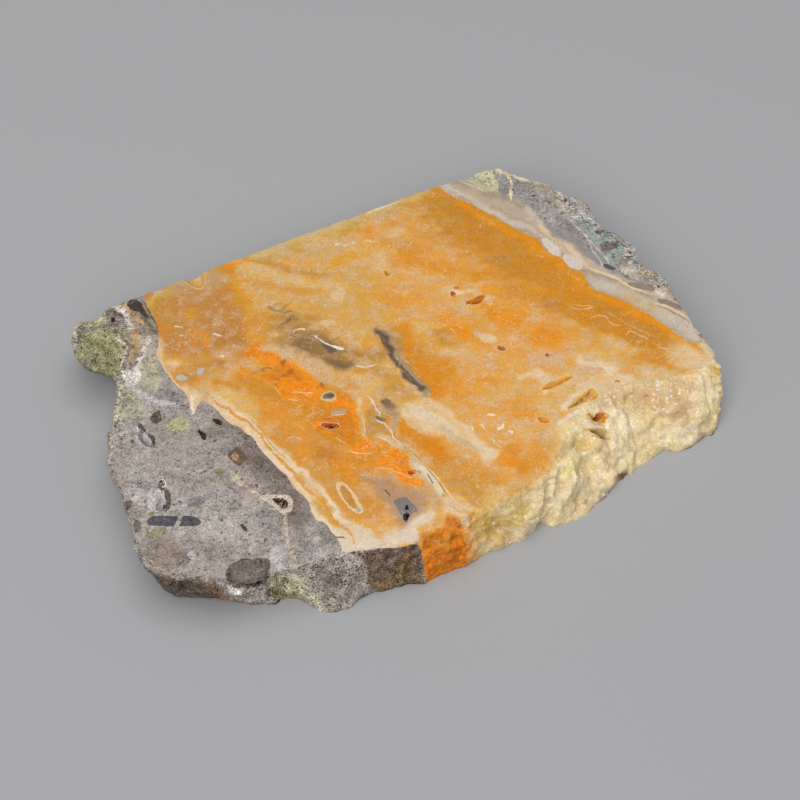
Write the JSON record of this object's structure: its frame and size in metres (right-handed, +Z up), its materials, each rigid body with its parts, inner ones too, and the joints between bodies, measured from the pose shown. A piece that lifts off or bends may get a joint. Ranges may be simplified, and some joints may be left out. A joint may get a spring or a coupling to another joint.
{
  "type": "bumblebee jasper slice",
  "caption": "Irregular flat slab of banded yellow and orange stone with grey rock at both ends, polished on top, rough round its side and sawn flat below.",
  "frame": {"origin": "middle of the slab's footprint, on the sawn face that it rests on", "axes": "+X to the right along the slab's longest side as pictured, +Y to its straight back edge, +Z up through the thickness"},
  "size_m": [0.1875, 0.157, 0.015],
  "materials": {
    "jasper": "satin polish above, rough broken side, sawn below"
  },
  "bodies": {
    "root": {"jasper_slice": "jasper"}
  },
  "joints": []
}
